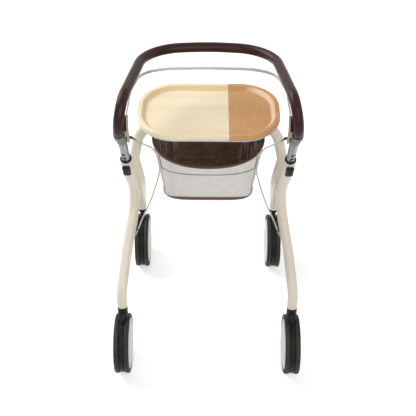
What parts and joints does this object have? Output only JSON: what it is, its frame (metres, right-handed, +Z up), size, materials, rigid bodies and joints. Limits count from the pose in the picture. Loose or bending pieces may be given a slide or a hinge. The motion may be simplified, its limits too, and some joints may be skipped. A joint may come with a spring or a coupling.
{
  "type": "rollator walker",
  "caption": "Folding rollator with a bow handle and brake bar on telescopic posts, a wooden tray, a cloth basket and twin wheels.",
  "frame": {"origin": "On the floor, in the middle of the box round the rollator seen from above, between the wheels of the two sides and between the rear and front wheels.", "axes": "+X is to the user's right, +Y is forwards away from the user, +Z is up."},
  "size_m": [0.5618, 0.646, 0.9386],
  "materials": {
    "cream_paint": "satin cream powder coat",
    "black_plastic": "black moulded plastic",
    "tyre_rubber": "dark grey rubber",
    "white_plastic": "white domed wheel cap",
    "steel": "plain steel pin",
    "silver_aluminium": "silver anodised",
    "grey_plastic": "grey moulded plastic",
    "brown_leather": "dark brown wrapped leather",
    "taupe_plastic": "taupe moulded plastic",
    "cable_jacket": "light grey cable jacket",
    "brass_brown": "dull brown metal ferrule",
    "birch": "clear lacquered birch",
    "cork": "speckled cork inlay",
    "pan_grey": "pale grey underside",
    "greige_fabric": "woven greige cloth",
    "brown_trim": "brown leather binding"
  },
  "bodies": {
    "rear_frame": {"rear_leg_left": "cream_paint", "rear_leg_right": "cream_paint", "guide_bush_left": "black_plastic", "guide_bush_right": "black_plastic", "post_collar_left": "cream_paint", "post_collar_right": "cream_paint", "rear_fork_left": "black_plastic", "rear_fork_right": "black_plastic", "fold_pin_left": "steel", "fold_pin_right": "steel", "brake_cable_left": "cable_jacket", "brake_cable_right": "cable_jacket", "rear_axle_left": "steel", "rear_axle_right": "steel"},
    "front_frame": {"front_leg_left": "cream_paint", "front_leg_right": "cream_paint", "caster_socket_left": "black_plastic", "caster_socket_right": "black_plastic", "cross_tube": "cream_paint", "basket_rim": "brown_trim", "basket_bag": "greige_fabric", "basket_base": "brown_trim"},
    "handle": {"post_left": "silver_aluminium", "post_right": "silver_aluminium", "connector_left": "grey_plastic", "connector_right": "grey_plastic", "cable_adjuster_left": "brass_brown", "cable_adjuster_right": "brass_brown", "handle_tube": "silver_aluminium", "handle_leather": "brown_leather"},
    "brake_bar": {"brake_bar": "silver_aluminium", "brake_blade_left": "taupe_plastic", "brake_blade_right": "taupe_plastic"},
    "tray": {"tray_board": "birch", "tray_cork": "cork", "tray_pan": "pan_grey"},
    "brake_shoe_left": {"brake_shoe_left": "grey_plastic"},
    "height_lever_left": {"height_lever_left": "black_plastic"},
    "caster_left": {"caster_fork_left": "black_plastic", "front_axle_left": "steel"},
    "brake_shoe_right": {"brake_shoe_right": "grey_plastic"},
    "height_lever_right": {"height_lever_right": "black_plastic"},
    "caster_right": {"caster_fork_right": "black_plastic", "front_axle_right": "steel"},
    "wheel_rear_left_inner": {"rim_rear_left_inner": "white_plastic", "tyre_rear_left_inner": "tyre_rubber"},
    "wheel_rear_left_outer": {"rim_rear_left_outer": "white_plastic", "tyre_rear_left_outer": "tyre_rubber"},
    "wheel_rear_right_inner": {"rim_rear_right_inner": "white_plastic", "tyre_rear_right_inner": "tyre_rubber"},
    "wheel_rear_right_outer": {"rim_rear_right_outer": "white_plastic", "tyre_rear_right_outer": "tyre_rubber"},
    "wheel_front_left_inner": {"rim_front_left_inner": "white_plastic", "tyre_front_left_inner": "tyre_rubber"},
    "wheel_front_left_outer": {"rim_front_left_outer": "white_plastic", "tyre_front_left_outer": "tyre_rubber"},
    "wheel_front_right_inner": {"rim_front_right_inner": "white_plastic", "tyre_front_right_inner": "tyre_rubber"},
    "wheel_front_right_outer": {"rim_front_right_outer": "white_plastic", "tyre_front_right_outer": "tyre_rubber"}
  },
  "joints": [
    {"name": "fold", "type": "hinge", "parent": "rear_frame", "child": "front_frame", "pos_m": [0, 0.019, 0.49], "axis": [-1, 0, 0], "range_deg": [0, 33.8]},
    {"name": "tray_lift", "type": "slide", "parent": "front_frame", "child": "tray", "axis": [0, 0, 1], "range_m": [0, 0.05]},
    {"name": "handle_height", "type": "slide", "parent": "rear_frame", "child": "handle", "axis": [0, -0.5, 0.866], "range_m": [-0.055, 0.03], "deforming": ["brake_cable_left", "brake_cable_right"]},
    {"name": "brake_pull", "type": "hinge", "parent": "handle", "child": "brake_bar", "pos_m": [0, -0.179, 0.80912], "axis": [1, 0, 0], "range_deg": [0, 5.7], "stiffness_Nm_per_rad": 4},
    {"name": "brake_shoe_left_press", "type": "slide", "parent": "rear_frame", "child": "brake_shoe_left", "axis": [0, -0.2425, -0.9701], "range_m": [0, 0.0012]},
    {"name": "brake_shoe_right_press", "type": "slide", "parent": "rear_frame", "child": "brake_shoe_right", "axis": [0, -0.2425, -0.9701], "range_m": [0, 0.0012]},
    {"name": "height_lever_left_flip", "type": "hinge", "parent": "rear_frame", "child": "height_lever_left", "pos_m": [-0.2205, -0.12801, 0.67459], "axis": [-1, 0, 0], "range_deg": [0, 90]},
    {"name": "height_lever_right_flip", "type": "hinge", "parent": "rear_frame", "child": "height_lever_right", "pos_m": [0.2205, -0.12801, 0.67459], "axis": [-1, 0, 0], "range_deg": [0, 90]},
    {"name": "caster_left_swivel", "type": "hinge", "parent": "front_frame", "child": "caster_left", "pos_m": [-0.22225, 0.263, 0.2], "axis": [0, 0, 1], "continuous": true},
    {"name": "caster_right_swivel", "type": "hinge", "parent": "front_frame", "child": "caster_right", "pos_m": [0.22225, 0.263, 0.2], "axis": [0, 0, 1], "continuous": true},
    {"name": "wheel_rear_left_inner_spin", "type": "hinge", "parent": "rear_frame", "child": "wheel_rear_left_inner", "pos_m": [-0.253, -0.233, 0.09], "axis": [1, 0, 0], "continuous": true},
    {"name": "wheel_rear_left_outer_spin", "type": "hinge", "parent": "rear_frame", "child": "wheel_rear_left_outer", "pos_m": [-0.253, -0.233, 0.09], "axis": [1, 0, 0], "continuous": true},
    {"name": "wheel_rear_right_inner_spin", "type": "hinge", "parent": "rear_frame", "child": "wheel_rear_right_inner", "pos_m": [0.253, -0.233, 0.09], "axis": [1, 0, 0], "continuous": true},
    {"name": "wheel_rear_right_outer_spin", "type": "hinge", "parent": "rear_frame", "child": "wheel_rear_right_outer", "pos_m": [0.253, -0.233, 0.09], "axis": [1, 0, 0], "continuous": true},
    {"name": "wheel_front_left_inner_spin", "type": "hinge", "parent": "caster_left", "child": "wheel_front_left_inner", "pos_m": [-0.22225, 0.233, 0.09], "axis": [1, 0, 0], "continuous": true},
    {"name": "wheel_front_left_outer_spin", "type": "hinge", "parent": "caster_left", "child": "wheel_front_left_outer", "pos_m": [-0.22225, 0.233, 0.09], "axis": [1, 0, 0], "continuous": true},
    {"name": "wheel_front_right_inner_spin", "type": "hinge", "parent": "caster_right", "child": "wheel_front_right_inner", "pos_m": [0.22225, 0.233, 0.09], "axis": [1, 0, 0], "continuous": true},
    {"name": "wheel_front_right_outer_spin", "type": "hinge", "parent": "caster_right", "child": "wheel_front_right_outer", "pos_m": [0.22225, 0.233, 0.09], "axis": [1, 0, 0], "continuous": true}
  ],
  "couplings": [
    {"joint": "brake_shoe_left_press", "follows": "brake_pull", "m_per_rad": 0.012},
    {"joint": "brake_shoe_right_press", "follows": "brake_pull", "m_per_rad": 0.012}
  ]
}
